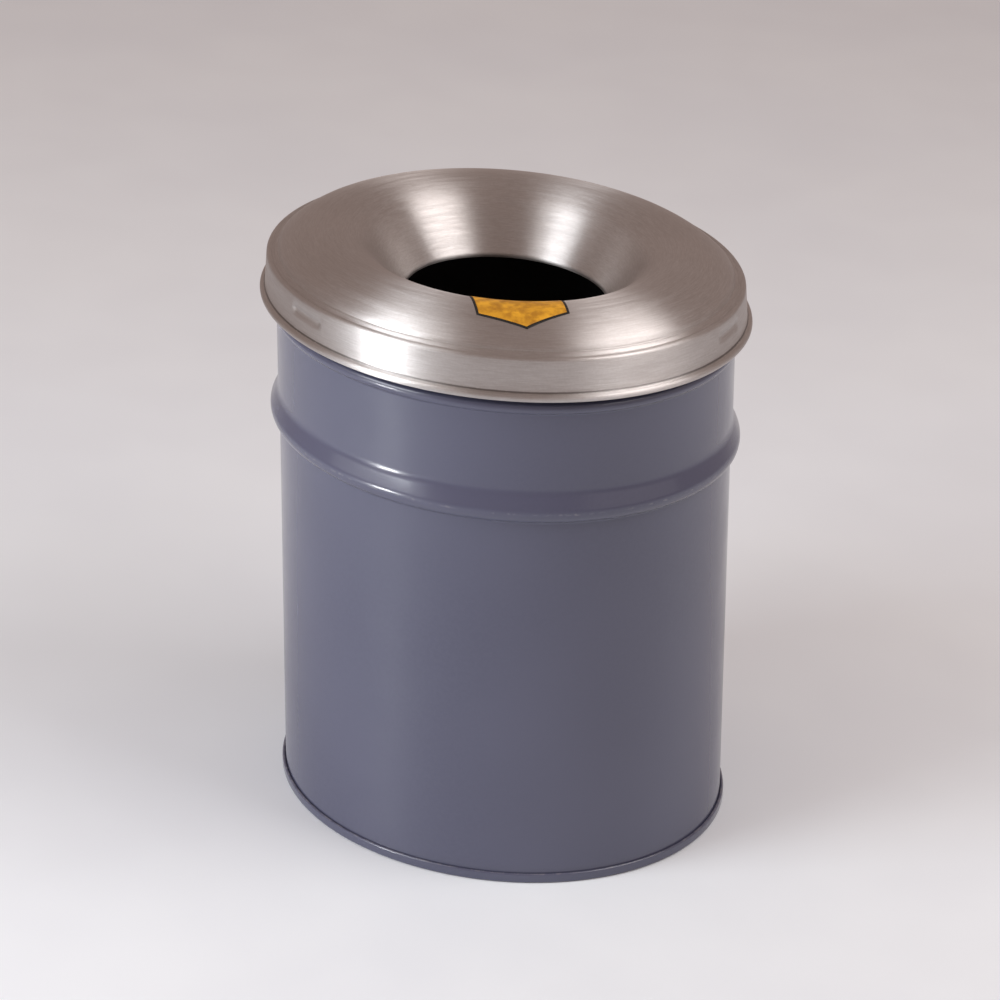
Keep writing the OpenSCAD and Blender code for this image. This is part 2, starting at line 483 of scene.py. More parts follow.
    def turn(
        self,
        section: Section,
        name: str,
        steps: int,
        outer: bpy.types.Material,
        inner: bpy.types.Material,
        dimples: Optional[Dimples] = None,
    ) -> bpy.types.Object:
        """Turns a section into a finished shell.

        Args:
            section: Section of the sheet.
            name: Name of the piece.
            steps: Steps around the axis.
            outer: Finish of the outer face.
            inner: Finish of the inner face.
            dimples: Dimples pressed into the skirt.

        Returns:
            The shell as a plain mesh at the origin.
        """
        wire = section.profile(name + "_section")
        modifier = wire.modifiers.new("lathe", "NODES")
        modifier.node_group = self.wiring.tree
        values: dict[str, object] = {
            "Steps": steps,
            "Outer Finish": outer,
            "Inner Finish": inner,
        }
        if dimples is not None:
            values |= {
                "Dimple Count": float(dimples.count),
                "First Dimple": math.radians(dimples.first),
                "Dimple Sweep": math.radians(dimples.sweep),
                "Dimple Height": dimples.height,
                "Dimple Middle": dimples.middle,
                "Dimple Depth": dimples.depth,
                "Dimple Soft": dimples.soft,
                "Skirt Radius": dimples.radius,
            }
        for item in self.wiring.tree.interface.items_tree:
            if item.in_out == "INPUT" and item.name in values:
                modifier[item.identifier] = values[item.name]
        shell = bake(wire, name)
        close_shell(shell.data)
        return shell


def bake(source: bpy.types.Object, name: str) -> bpy.types.Object:
    """Turns an object with modifiers into a plain mesh, and removes the source.

    Args:
        source: Object whose modifiers make the shape.
        name: Name of the finished piece.

    Returns:
        The finished piece.
    """
    graph = bpy.context.evaluated_depsgraph_get()
    graph.update()
    mesh = bpy.data.meshes.new_from_object(source.evaluated_get(graph), depsgraph=graph)
    mesh.name = name
    bpy.data.objects.remove(source)
    piece = bpy.data.objects.new(name, mesh)
    bpy.context.scene.collection.objects.link(piece)
    return piece


def close_shell(mesh: bpy.types.Mesh) -> None:
    """Merges doubles at seams and poles, and points every face outwards.

    Args:
        mesh: Mesh that is changed.
    """
    shell = bmesh.new()
    shell.from_mesh(mesh)
    bmesh.ops.remove_doubles(shell, verts=shell.verts, dist=2e-6)
    bmesh.ops.dissolve_degenerate(shell, edges=shell.edges, dist=1e-6)
    bmesh.ops.recalc_face_normals(shell, faces=shell.faces)
    for face in shell.faces:
        face.smooth = True
    shell.to_mesh(mesh)
    shell.free()


def mesh_piece(
    name: str, points: Sequence[Vector], faces: Sequence[Sequence[int]], finish: bpy.types.Material
) -> bpy.types.Object:
    """Makes a closed piece from points and faces.

    Args:
        name: Name of the piece.
        points: Its corners.
        faces: The corners of each face.
        finish: Its material.

    Returns:
        The piece, at the origin.
    """
    mesh = bpy.data.meshes.new(name)
    mesh.from_pydata([tuple(p) for p in points], [], faces)
    mesh.materials.append(finish)
    close_shell(mesh)
    piece = bpy.data.objects.new(name, mesh)
    bpy.context.scene.collection.objects.link(piece)
    return piece


def place(piece: bpy.types.Object, body: Body, nodes: Sequence[str], slot: Slot) -> None:
    """Hands a finished piece to the frame.

    Args:
        piece: The piece.
        body: Body that it rides on.
        nodes: CAD nodes that it stands for.
        slot: Record's slot of its finish; not used.
    """
    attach(piece, body.value)
    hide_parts(*nodes)
    log.info("%s: %d faces on %s", piece.name, len(piece.data.polygons), body.value)


# ---- Shared shader groups -------------------------------------------------


def ring_position(w: Wiring) -> tuple[bpy.types.NodeSocket, ...]:
    """Object position as distance from the axis, direction around it and height.

    Args:
        w: Wiring of the group that needs it.

    Returns:
        The radius, the direction's two parts, and the height.
    """
    place_node = w.add("ShaderNodeSeparateXYZ")
    w.feed(place_node, 0, w.add("ShaderNodeTexCoord").outputs["Object"])
    x, y, z = place_node.outputs
    radius = w.math("SQRT", w.math("ADD", w.math("MULTIPLY", x, x), w.math("MULTIPLY", y, y)))
    safe = w.math("MAXIMUM", radius, 1e-4)
    return radius, w.math("DIVIDE", x, safe), w.math("DIVIDE", y, safe), z


def build_grain() -> bpy.types.NodeTree:
    """Builds the tool marks that run round a turned piece.

    Returns:
        A group with the marks' value.
    """
    w = new_group(
        "turning_grain",
        "ShaderNodeTree",
        {"Fineness": (FLOAT, 900.0), "Shortness": (FLOAT, 2.0)},
        {"Marks": FLOAT},
    )
    given = w.add("NodeGroupInput").outputs
    radius, east, north, height = ring_position(w)
    spot = w.add("ShaderNodeCombineXYZ")
    w.feed(spot, "X", w.math("MULTIPLY", east, given["Shortness"]))
    w.feed(spot, "Y", w.math("MULTIPLY", north, given["Shortness"]))
    w.feed(spot, "Z", w.math("MULTIPLY", height, given["Fineness"]))
    depth = w.math("MULTIPLY", radius, given["Fineness"])
    marks = w.noise(1.0, 3.0, 0.65, Vector=spot.outputs[0], W=depth)
    w.feed(w.add("NodeGroupOutput"), "Marks", marks)
    return w.tree


def build_mottle() -> bpy.types.NodeTree:
    """Builds slow variation over a surface.

    Returns:
        A group with a value that moves between Low and High.
    """
    w = new_group(
        "mottle",
        "ShaderNodeTree",
        {"Scale": (FLOAT, 20.0), "Low": (FLOAT, 0.0), "High": (FLOAT, 1.0), "Detail": (FLOAT, 3.0)},
        {"Value": FLOAT},
    )
    given = w.add("NodeGroupInput").outputs
    spot = w.add("ShaderNodeTexCoord").outputs["Object"]
    cloud = w.noise(given["Scale"], given["Detail"], 0.55, Vector=spot)
    w.feed(w.add("NodeGroupOutput"), "Value", w.ramp(cloud, 0.3, 0.7, (given["Low"], given["High"])))
    return w.tree


def build_wear_and_shade_ring() -> bpy.types.NodeTree:
    """Builds patches along a ring of a turned piece: rubbed wear on the paint, painted shade in the
    metal's crease.

    Returns:
        A group with the mask of the marked places.
    """
    w = new_group(
        "wear_and_shade_ring",
        "ShaderNodeTree",
        {
            "Height": (FLOAT, 0.0),
            "Reach": (FLOAT, 0.003),
            "Least Radius": (FLOAT, 0.0),
            "Amount": (FLOAT, 0.5),
            "Scale": (FLOAT, 160.0),
        },
        {"Mask": FLOAT},
    )
    given = w.add("NodeGroupInput").outputs
    radius, _, _, height = ring_position(w)
    away = w.math("ABSOLUTE", w.math("SUBTRACT", height, given["Height"]))
    near = w.ramp(away, 0.0, given["Reach"], (1.0, 0.0))
    outside = w.math("GREATER_THAN", radius, given["Least Radius"])
    spot = w.add("ShaderNodeTexCoord").outputs["Object"]
    patches = w.noise(given["Scale"], 5.0, 0.7, Vector=spot)
    edge = w.math("SUBTRACT", 1.0, w.math("MULTIPLY", given["Amount"], 0.7))
    worn = w.math("MULTIPLY", patches, w.math("ADD", near, 0.35))
    rubbed = w.ramp(worn, w.math("MULTIPLY", edge, 0.7), edge)
    mask = w.math("MULTIPLY", w.math("MULTIPLY", near, outside), rubbed)
    w.feed(w.add("NodeGroupOutput"), "Mask", mask)
    return w.tree


@dataclass
class Groups:
    """Shader groups that the finishes share, each built once."""

    grain: bpy.types.NodeTree = field(default_factory=build_grain)
    mottle: bpy.types.NodeTree = field(default_factory=build_mottle)
    wear_and_shade_ring: bpy.types.NodeTree = field(default_factory=build_wear_and_shade_ring)


# ---- Finishes --------------------------------------------------------------


@dataclass
class Finish:
    """A material under construction around one Principled shader."""

    name: str
    w: Wiring = field(init=False)
    material: bpy.types.Material = field(init=False)
    shader: bpy.types.Node = field(init=False)

    def __post_init__(self) -> None:
        """Makes the empty material."""
        self.material = bpy.data.materials.new(self.name)
        self.material.use_nodes = True
        self.w = Wiring(self.material.node_tree)
        self.shader = self.material.node_tree.nodes["Principled BSDF"]

    def fixed(self, **values: object) -> None:
        """Sets constants on the shader's own sockets.

        Args:
            **values: Values by socket name, with underscores for spaces.
        """
        for name, value in values.items():
            self.shader.inputs[name.replace("_", " ")].default_value = value

    def group(self, tree: bpy.types.NodeTree, **values: object) -> bpy.types.NodeSocket:
        """Places a shared group and sets its inputs.

        Args:
            tree: The group.
            **values: Inputs by name, with underscores for spaces.

        Returns:
            The group's first output.
        """
        node = self.w.add("ShaderNodeGroup", node_tree=tree)
        for name, value in values.items():
            self.w.feed(node, name.replace("_", " "), value)
        return node.outputs[0]

    def mix(self, share: object, first: object, second: object) -> bpy.types.NodeSocket:
        """Mixes two colours.

        Args:
            share: Share of the second, as a socket or a number.
            first: First colour, or a socket.
            second: Second colour, or a socket.

        Returns:
            The mixed colour's socket.
        """
        node = self.w.add("ShaderNodeMix", data_type="RGBA")
        self.w.feed(node, 0, share)
        for index, colour in ((6, first), (7, second)):
            linked = isinstance(colour, bpy.types.NodeSocket)
            self.w.feed(node, index, colour if linked else (*colour, 1.0))
        return node.outputs[2]

    def bump(
        self,
        height: bpy.types.NodeSocket,
        strength: float,
        distance: float,
        under: Optional[bpy.types.NodeSocket] = None,
    ) -> bpy.types.NodeSocket:
        """Adds a bump on top of another.

        Args:
            height: Height value.
            strength: Strength of the bump.
            distance: Height of the bump in metres.
            under: Normal from the bump below.

        Returns:
            The new normal's socket.
        """
        node = self.w.add("ShaderNodeBump")
        self.w.feed(node, "Strength", strength)
        self.w.feed(node, "Distance", distance)
        self.w.feed(node, "Height", height)
        if under is not None:
            self.w.feed(node, "Normal", under)
        return node.outputs[0]

    def join(self, socket: str, source: bpy.types.NodeSocket) -> None:
        """Joins an output to one of the shader's inputs."""
        self.w.feed(self.shader, socket, source)


@dataclass(frozen=True)
class GreyPaint:
    """Semi-gloss baked enamel on steel, with fine orange peel and rubbed edges."""

    base: Colour = (0.068, 0.071, 0.114)
    light: Colour = (0.080, 0.083, 0.130)
    worn: Colour = (0.14, 0.14, 0.175)
    roughness: Point = (0.20, 0.27)
    peel: float = 0.05

    def build(
        self, groups: Groups, edges: Sequence[tuple[float, float, float, float]]
    ) -> bpy.types.Material:
        """Makes the paint.

        Args:
            groups: Shared shader groups.
            edges: Height, reach, least radius and amount of each ring that wears.

        Returns:
            The material.
        """
        f = Finish("grey_enamel")
        cloud = f.group(groups.mottle, Scale=7.0, Detail=1.0)
        colour = f.mix(cloud, self.base, self.light)
        specks = f.group(groups.mottle, Scale=420.0, Low=0.0, High=0.3)
        colour = f.mix(specks, colour, self.light)
        rough = f.group(groups.mottle, Scale=26.0, Low=self.roughness[0], High=self.roughness[1])
        for height, reach, least, amount in edges:
            ring = {"Height": height, "Reach": reach, "Least_Radius": least, "Amount": amount}
            colour = f.mix(f.group(groups.wear_and_shade_ring, **ring), colour, self.worn)
        f.join("Base Color", colour)
        f.join("Roughness", rough)
        peel = f.group(groups.mottle, Scale=520.0, Detail=1.0)
        ripple = f.group(groups.mottle, Scale=24.0, Detail=0.0)
        f.join("Normal", f.bump(peel, self.peel, 0.1 * MM, f.bump(ripple, 0.05, 0.4 * MM)))
        f.fixed(IOR=1.5, Coat_Weight=0.3, Coat_Roughness=0.12)
        return f.material


@dataclass(frozen=True)
class InsidePaintedShade:
    """Near-black painted shade inside the drum and under the head, laid as a dull finish."""

    base: Colour = (0.010, 0.010, 0.011)
    light: Colour = (0.020, 0.020, 0.022)

    def build(self, groups: Groups) -> bpy.types.Material:
        """Makes the near-black painted shade.

        Args:
            groups: Shared shader groups.

        Returns:
            The material.
        """
        f = Finish("inside_painted_shade")
        f.join("Base Color", f.mix(f.group(groups.mottle, Scale=30.0), self.base, self.light))
        f.join("Roughness", f.group(groups.mottle, Scale=60.0, Low=0.55, High=0.75))
        f.join("Normal", f.bump(f.group(groups.mottle, Scale=300.0), 0.1, 0.1 * MM))
        return f.material


@dataclass(frozen=True)
class SpunAluminium:
    """Bare aluminium with the fine marks of the spinning tool and of handling, and painted shade in
    its creases.
    """

    dark: Colour = (0.52, 0.495, 0.48)
    light: Colour = (0.68, 0.66, 0.65)
    haze: Colour = (0.50, 0.455, 0.43)
    crease_shade: Colour = (0.10, 0.09, 0.085)
    roughness: Point = (0.38, 0.47)
    grain: float = 0.14

    def build(
        self, groups: Groups, creases: Sequence[tuple[float, float, float]]
    ) -> bpy.types.Material:
        """Makes the metal.

        Args:
            groups: Shared shader groups.
            creases: Height, reach and least radius of each ring darkened with painted shade.

        Returns:
            The material.
        """
        f = Finish("spun_aluminium")
        fine = f.group(groups.grain, Fineness=1500.0, Shortness=14.0)
        broad = f.group(groups.grain, Fineness=380.0, Shortness=2.5)
        specks = f.group(groups.mottle, Scale=620.0, Detail=2.0)
        marks = f.w.math("MULTIPLY_ADD", broad, 0.35, f.w.math("MULTIPLY", fine, 0.65))
        colour = f.mix(f.w.ramp(marks, 0.3, 0.7), self.dark, self.light)
        colour = f.mix(f.w.math("MULTIPLY", specks, 0.25), colour, self.haze)
        colour = f.mix(f.group(groups.mottle, Scale=11.0, Low=0.0, High=0.35), colour, self.haze)
        # Painted shade: patches along each crease ring are darkened towards a near-black colour.
        for height, reach, least in creases:
            ring = {"Height": height, "Reach": reach, "Least_Radius": least, "Amount": 0.8}
            mask = f.group(groups.wear_and_shade_ring, **ring)
            colour = f.mix(f.w.math("MULTIPLY", mask, 0.75), colour, self.crease_shade)
        f.join("Base Color", colour)
        f.join("Roughness", f.w.ramp(broad, 0.3, 0.7, self.roughness))
        dents = f.bump(f.group(groups.mottle, Scale=16.0, Detail=0.0), 0.06, 0.5 * MM)
        f.join("Normal", f.bump(fine, self.grain, 0.05 * MM, f.bump(specks, 0.15, 0.04 * MM, dents)))
        tangent = f.w.add("ShaderNodeTangent", direction_type="RADIAL", axis="Z")
        f.w.feed(f.shader, "Tangent", tangent.outputs[0])
        f.fixed(Metallic=1.0, Anisotropic=0.92, Anisotropic_Rotation=0.25)
        return f.material


@dataclass(frozen=True)
class PrintedFilm:
    """Vinyl film of the blank label."""

    name: str
    base: Colour
    stain: Colour
    stain_share: float = 0.4

    def build(self, groups: Groups) -> bpy.types.Material:
        """Makes the film.

        Args:
            groups: Shared shader groups.

        Returns:
            The material.
        """
        f = Finish(self.name)
        blots = f.group(groups.mottle, Scale=150.0, Low=0.0, High=self.stain_share)
        colour = f.mix(blots, self.base, self.stain)
        slow = f.group(groups.mottle, Scale=45.0, Low=0.0, High=self.stain_share * 0.6)
        f.join("Base Color", f.mix(slow, colour, self.stain))
        f.join("Roughness", f.group(groups.mottle, Scale=90.0, Low=0.38, High=0.55))
        f.join("Normal", f.bump(f.group(groups.mottle, Scale=120.0), 0.15, 0.08 * MM))
        f.fixed(Specular_IOR_Level=0.2)
        return f.material


BORDER_FILM = PrintedFilm("label_border_film", (0.012, 0.011, 0.010), (0.03, 0.028, 0.025))
YELLOW_FILM = PrintedFilm("label_yellow_film", (0.86, 0.43, 0.03), (0.34, 0.14, 0.012), 0.8)


@dataclass(frozen=True)
class SeamCompound:
    """Rubbery compound in the base seam."""

    base: Colour = (0.012, 0.012, 0.012)
    light: Colour = (0.03, 0.03, 0.03)

    def build(self, groups: Groups) -> bpy.types.Material:
        """Makes the compound.

        Args:
            groups: Shared shader groups.

        Returns:
            The material.
        """
        f = Finish("seam_compound")
        f.join("Base Color", f.mix(f.group(groups.mottle, Scale=200.0), self.base, self.light))
        f.join("Roughness", f.group(groups.mottle, Scale=150.0, Low=0.6, High=0.85))
        f.join("Normal", f.bump(f.group(groups.mottle, Scale=350.0), 0.2, 0.1 * MM))
        return f.material


# ---- Drum -------------------------------------------------------------------


@dataclass
class Drum:
    """Painted steel drum: its rolled shell, weld, pressed bottom and sealed seam."""

    lathe: Lathe
    groups: Groups
    top: float
    neck: float = 143.5 * MM
    steel: float = 0.6 * MM
    neck_step: float = 0.9 * MM
    seam_gap: float = 0.15 * MM
    slide_gap: float = 0.05 * MM
    chime: float = 6.5 * MM
    curl: float = 2.35 * MM
    curl_end: float = -95.0
    swell_height: float = 259 * MM
    swell_out: float = 5.8 * MM
    swell_lean: float = 25.0
    swell_foot: float = 2.0 * MM
    swell_nose: float = 8.0 * MM
    swell_top: float = 14.0 * MM
    bead_drop: float = 32.5 * MM
    bead_out: float = 3.0 * MM
    bead: float = 4.0 * MM
    bead_fillet: float = 2.0 * MM
    panel: float = 10.0 * MM
    panel_round: float = 2.2 * MM
    base_round: float = 1.0 * MM
    weld_half: float = math.radians(1.1)
    weld_rise: float = 0.35 * MM
    weld_edge: float = 0.04 * MM
    weld_seat: float = 0.02 * MM
    weld_foot_gap: float = 2.0 * MM
    weld_top_gap: float = 3.0 * MM
    weld_across: int = 8
    steps: int = 540

    @property
    def wall(self) -> float:
        """Radius of the wall below the swell."""
        return self.neck - self.neck_step

    def wall_path(self) -> list[Arc]:
        """Arcs of the wall from above the base seam to below the rolled rim.

        Returns:
            The swell's foot, nose and fold, and the neck bead between its fillets.
        """
        foot, nose, top = self.swell_foot, self.swell_nose, self.swell_top
        bead, fillet = self.bead, self.bead_fillet
        turn = math.degrees(math.acos(1 - self.swell_out / (foot + nose)))
        nose_c = Vector((self.wall + self.swell_out - nose, self.swell_height))
        foot_c = nose_c + polar(foot + nose, -turn)
        lean = math.radians(self.swell_lean)
        rise = ((nose + top) / math.cos(lean) - (self.neck + top - nose_c.x)) / math.tan(lean)
        top_c = Vector((self.neck + top, nose_c.y + rise))
        bead_turn = math.degrees(math.acos(1 - self.bead_out / (bead + fillet)))
        bead_c = Vector((self.neck + self.bead_out - bead, self.top - self.bead_drop))
        return [
            Arc(foot_c, foot, 180, 180 - turn),
            Arc(nose_c, nose, -turn, self.swell_lean),
            Arc(top_c, top, 180 + self.swell_lean, 180, 2.0),
            Arc(bead_c + polar(bead + fillet, -bead_turn), fillet, 180, 180 - bead_turn),
            Arc(bead_c, bead, -bead_turn, bead_turn),
            Arc(bead_c + polar(bead + fillet, bead_turn), fillet, 180 + bead_turn, 180),
        ]

    def build_shell(self, paint: bpy.types.Material, inner_shade: bpy.types.Material) -> None:
        """Rolls the shell, from its hook in the base seam to its rolled rim.

        Args:
            paint: Finish of the outer face.
            inner_shade: Painted shade on the inner face, as a near-black finish.
        """
        hook = self.steel / 2 + self.seam_gap
        hook_c = Vector((self.wall + hook, 2 * self.steel + 2 * self.seam_gap + hook))
        hook_top = self.chime - 2 * self.steel - 2 * self.seam_gap
        curl_c = Vector((self.neck - self.steel + self.curl, self.top - self.curl))
        path = [
            corner((hook_c.x + hook, hook_top), 180),
            Arc(hook_c, hook, 0, -180, 30.0),
            *self.wall_path(),
            Arc(curl_c, self.curl - self.steel, 180, self.curl_end, 15.0),
        ]
        section = Section(path, self.steel)
        shell = self.lathe.turn(section, "drum_shell_visual", self.steps, paint, inner_shade)
        place(shell, Body.DRUM, ["drum_shell"], Slot.PAINT)

    def build_bottom(self, paint: bpy.types.Material, inner_shade: bpy.types.Material) -> None:
        """Presses the bottom and folds its edge over the shell's hook.

        The hidden face is the path's outer one, so the two finishes change places in the lathe.

        Args:
            paint: Finish of the face that the floor and the seam's outside show.
            inner_shade: Painted shade on the face inside the drum, as a near-black finish.
        """
        hook_r = self.wall + self.seam_gap + self.steel
        edge_r = hook_r + self.steel + 2 * self.seam_gap
        fold = (edge_r - hook_r) / 2
        round_r, panel_r = self.base_round, self.panel_round
        chuck = self.wall - self.steel - self.slide_gap
        low = self.steel + round_r
        path = [
            corner((hook_r, self.chime - self.steel - 4 * fold), 0),
            Arc(Vector((hook_r + fold, self.chime - self.steel - fold)), fold, 180, 0, 20.0),
            Arc(Vector((edge_r - round_r, low)), round_r, 0, -90, 15.0),
            Arc(Vector((chuck + round_r, low)), round_r, -90, -180, 15.0),
            Arc(Vector((chuck - panel_r, self.panel - panel_r)), panel_r, 0, 90, 15.0),
            corner((0.0, self.panel), 90),
        ]
        section = Section(path, self.steel)
        bottom = self.lathe.turn(section, "drum_bottom_visual", self.steps, inner_shade, paint)
        place(bottom, Body.DRUM, ["drum_bottom"], Slot.PAINT)

    def build_weld(self, paint: bpy.types.Material) -> None:
        """Lays the lap weld up the back of the drum as one crowned strip.

        Args:
            paint: Finish of the weld.
        """
        path = [
            corner((self.wall, self.chime + self.weld_foot_gap), 0),
            *self.wall_path(),
            corner((self.neck, self.top - 2 * self.curl - self.weld_top_gap), 0),
        ]
        shares = [2 * i / self.weld_across - 1 for i in range(self.weld_across + 1)]
        crown = [self.weld_rise * math.cos(s * math.pi / 2) ** 0.5 + self.weld_edge for s in shares]
        rows = [*zip(shares, crown), (shares[-1], self.weld_seat), (shares[0], self.weld_seat)]
        points: list[Vector] = []
        for share, rise in rows:
            around = Matrix.Rotation(share * self.weld_half, 3, "Z")
            points += [around @ Vector((0, p.x, p.y)) for arc in path for p in arc.points(rise)]
        count = len(rows)
        length = len(points) // count
        faces = [
            [a * length + i, a * length + i + 1, b * length + i + 1, b * length + i]
            for a, b in ((a, (a + 1) % count) for a in range(count))
            for i in range(length - 1)
        ]
        faces.append([a * length for a in range(count)])
        faces.append([(a + 1) * length - 1 for a in range(count)])
        weld = mesh_piece("drum_side_weld_visual", points, faces, paint)
        place(weld, Body.DRUM, ["drum_side_weld"], Slot.PAINT)

    def build(self) -> None:
        """Builds and dresses every piece of the drum."""
        edges = [
            (self.swell_height, 3.0 * MM, self.neck + 3 * MM, 0.12),
            (self.chime, 1.5 * MM, self.wall + 0.5 * MM, 0.25),
            (0.0, 2.0 * MM, self.wall + 0.5 * MM, 0.4),
        ]
        paint = GreyPaint().build(self.groups, edges)
        # The drum's inside gets near-black painted shade.
        inner_shade = InsidePaintedShade().build(self.groups)
        self.build_shell(paint, inner_shade)
        self.build_bottom(paint, inner_shade)
        self.build_weld(paint)
        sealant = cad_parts["base_seam_sealant"]
        sealant.data.materials.clear()
        sealant.data.materials.append(SeamCompound().build(self.groups))


# ---- Head -------------------------------------------------------------------


@dataclass
class Head:
    """Spun aluminium head, from its rolled hem over the crown to the mouth."""

    lathe: Lathe
    groups: Groups
    hem: float
    crown_height: float
    hem_low: float
    drum_top: float
    sheet: float = 1.2 * MM
    bead: float = 2.4 * MM
    bead_start: float = -160.0
    bead_turn: float = 75.0
    hem_fillet: float = 2.0 * MM
    lean: float = 4.0
    shoulder: float = 2.2 * MM
    shoulder_rise: float = 0.1 * MM
    groove: float = 1.0 * MM
    crown: float = 108.7 * MM
    dome: float = 47.0 * MM
    crown_round: float = 33.0 * MM
    mouth: float = 63.5 * MM
    lip: float = 3.0 * MM
    lip_edge: float = 1.5 * MM
    mouth_drop: float = 19.0 * MM
    score: float = 142.7 * MM
    score_round: float = 0.8 * MM
    score_depth: float = 0.3 * MM
    dimples: Dimples = field(default_factory=Dimples)
    steps: int = 528

    @property
    def dome_centre(self) -> Vector:
        """Centre of the dome's section outside the crown."""
        return Vector((self.crown, self.crown_height - self.dome))

    def build_shell(self, metal: bpy.types.Material, inner_shade: bpy.types.Material) -> None:
        """Spins the head in one sheet.

        Args:
            metal: Finish of the outer face.
            inner_shade: Painted shade on the inner face, as a near-black finish.
        """
        hem_c = Vector((self.hem - self.bead, self.hem_low + self.bead))
        fillet, shoulder, groove = self.hem_fillet, self.shoulder, self.groove
        fillet_c = hem_c + polar(self.bead + fillet, self.bead_turn)
        face = polar(1, self.lean)
        shoulder_z = self.drum_top + self.shoulder_rise
        reach = fillet_c.dot(face) - fillet - shoulder - shoulder_z * face.y
        shoulder_c = Vector((reach / face.x, shoulder_z))
        dome_c = self.dome_centre
        groove_c = nestled(shoulder_c, shoulder, dome_c, self.dome, groove)
        crown_c = Vector((self.crown, self.crown_height - self.crown_round))
        lip_c = Vector((self.mouth + self.lip, self.drum_top - self.mouth_drop))
        funnel = bearing(crown_c, lip_c) + 360
        funnel -= math.degrees(math.acos((self.crown_round - self.lip) / (lip_c - crown_c).length))
        over, start = bearing(shoulder_c, groove_c), bearing(dome_c, groove_c)
        skirt = [
            Arc(hem_c, self.bead, self.bead_start, self.bead_turn, 12.0),
            Arc(fillet_c, fillet, 180 + self.bead_turn, 180 + self.lean, 12.0),
            *self.skirt_rows(fillet_c, fillet),
            Arc(shoulder_c, shoulder, self.lean, over, 12.0),
            Arc(groove_c, groove, 180 + over, 180 + start, 15.0),
        ]
        mouth = [
            Arc(crown_c, self.crown_round, 90, funnel, 5.0),
            Arc(lip_c, self.lip, funnel, 180, 7.0),
            corner((self.mouth, lip_c.y - self.lip_edge), 180),
        ]
        scored = [*skirt, *self.scored_dome(start), *mouth]
        plain = [*skirt, Arc(dome_c, self.dome, start, 90, 5.0), *mouth]
        section = Section(scored, self.sheet, plain)
        shell = self.lathe.turn(
            section, "head_shell_visual", self.steps, metal, inner_shade, self.dimples
        )
        place(shell, Body.HEAD, ["head_shell"], Slot.ALUMINIUM)

    def skirt_rows(self, fillet_c: Vector, fillet: float) -> list[Arc]:
        """Extra rows of points down the straight skirt, where the dimples are pressed.

        Args:
            fillet_c: Centre of the fillet under the skirt.
            fillet: Its radius.

        Returns:
            Corners along the skirt's straight face.
        """
        foot = fillet_c - polar(fillet, self.lean)
        low = self.dimples.middle - self.dimples.height / 2
        rows = 14
        return [
            corner((foot.x - (z - foot.y) * math.tan(math.radians(self.lean)), z), self.lean)
            for z in (low + self.dimples.height * i / rows for i in range(rows + 1))
            if z > foot.y
        ]

    def scored_dome(self, start: float) -> list[Arc]:
        """The dome with a fine line scored just inside its edge.

        Args:
            start: Direction in degrees where the dome meets the groove.

        Returns:
            Its arcs, up to the crown.
        """
        width, depth = self.score_round, self.score_depth
        reach = self.dome + width - depth
        middle = math.degrees(math.acos((self.score - self.crown) / self.dome))
        turn = math.degrees(math.acos((width**2 + reach**2 - self.dome**2) / (2 * width * reach)))
        half = math.degrees(math.asin(width * math.sin(math.radians(turn)) / self.dome))
        centre = self.dome_centre + polar(reach, middle)
        return [
            Arc(self.dome_centre, self.dome, start, middle - half, 2.0),
            Arc(centre, width, middle + 180 + turn, middle + 180 - turn, 20.0),
            Arc(self.dome_centre, self.dome, middle + half, 90, 5.0),
        ]

    def build(self) -> None:
        """Builds and dresses the head."""
        # The crease above the hem bead gets painted shade, a dark ring in the metal's colour.
        crease = self.hem_low + 2 * self.bead + 0.9 * MM
        metal = SpunAluminium().build(self.groups, [(crease, 1.1 * MM, self.crown + 30 * MM)])
        # The head's underside gets the near-black painted shade.
        self.build_shell(metal, InsidePaintedShade().build(self.groups))


# ---- Label ------------------------------------------------------------------


